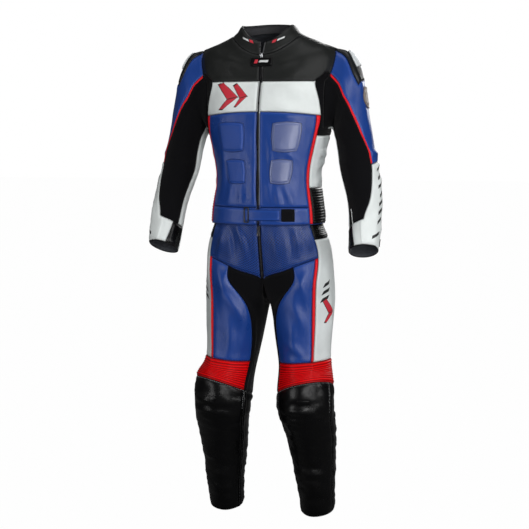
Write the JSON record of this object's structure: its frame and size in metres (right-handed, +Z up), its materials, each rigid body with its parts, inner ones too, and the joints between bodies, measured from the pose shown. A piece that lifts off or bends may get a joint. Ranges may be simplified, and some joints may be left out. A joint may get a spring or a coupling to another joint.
{
  "type": "motorcycle race suit",
  "caption": "Two-piece leather race suit in the form it has when worn: colour-blocked jacket with a stand collar and padded fronts, and trousers with pleated knee bands.",
  "frame": {"origin": "base of the neck, on the middle plane, level with the sides of the collar's seam", "axes": "+Z up, the front faces -Y, +X towards the wearer's left"},
  "size_m": [0.698, 0.2702, 1.4632],
  "materials": {
    "blue_leather": "grained, part perforated, soft sheen",
    "white_leather": "grained, soft sheen",
    "red_leather": "grained, soft sheen",
    "black_leather": "grained, soft sheen",
    "black_stretch": "matt woven stretch",
    "zip_tape": "matt tape with moulded teeth",
    "black_plastic": "satin",
    "pale_plastic": "satin",
    "grey_rubber": "moulded",
    "dark_metal": "dark plated"
  },
  "bodies": {
    "suit": {"back": "blue_leather", "badge": "grey_rubber", "band_left": "blue_leather", "band_right": "blue_leather", "body_left": "blue_leather", "body_right": "blue_leather", "calf_left": "black_leather", "calf_right": "black_leather", "chest_left": "white_leather", "chest_right": "white_leather", "collar": "black_leather", "fly_zip": "zip_tape", "front_zip": "zip_tape", "gusset": "black_stretch", "hip_pleats_left": "black_stretch", "hip_pleats_right": "black_stretch", "hip_yoke_left": "blue_leather", "hip_yoke_right": "blue_leather", "knee_left": "red_leather", "knee_right": "red_leather", "leg_side_left": "white_leather", "leg_side_right": "white_leather", "leg_stripe_left": "red_leather", "leg_stripe_right": "red_leather", "neck_tab": "black_leather", "pad_lower_left": "blue_leather", "pad_lower_right": "blue_leather", "pad_upper_left": "blue_leather", "pad_upper_right": "blue_leather", "seat": "blue_leather", "shin_left": "black_leather", "shin_right": "black_leather", "side_pleats_left": "black_stretch", "side_pleats_right": "black_stretch", "side_stripe_left": "red_leather", "side_stripe_right": "red_leather", "side_white_left": "white_leather", "side_white_right": "white_leather", "sleeve_blue_left": "blue_leather", "sleeve_blue_right": "blue_leather", "sleeve_cap_insert_left": "pale_plastic", "sleeve_cap_insert_right": "pale_plastic", "sleeve_cap_left": "black_plastic", "sleeve_cap_right": "black_plastic", "sleeve_piping_left": "red_leather", "sleeve_piping_right": "red_leather", "sleeve_stretch_left": "black_stretch", "sleeve_stretch_right": "black_stretch", "sleeve_strip_left": "black_leather", "sleeve_strip_right": "black_leather", "sleeve_white_left": "white_leather", "sleeve_white_right": "white_leather", "strap_patch": "black_stretch", "thigh_left": "blue_leather", "thigh_right": "blue_leather", "underarm_left": "black_stretch", "underarm_right": "black_stretch", "waist_strap": "blue_leather", "yoke": "black_leather"},
    "pull": {"fly_pull": "dark_metal"}
  },
  "joints": [
    {"name": "fly_pull_hinge", "type": "hinge", "parent": "suit", "child": "pull", "pos_m": [0, -0.1128, -0.549], "axis": [-1, 0, 0], "range_deg": [0, 105]}
  ]
}
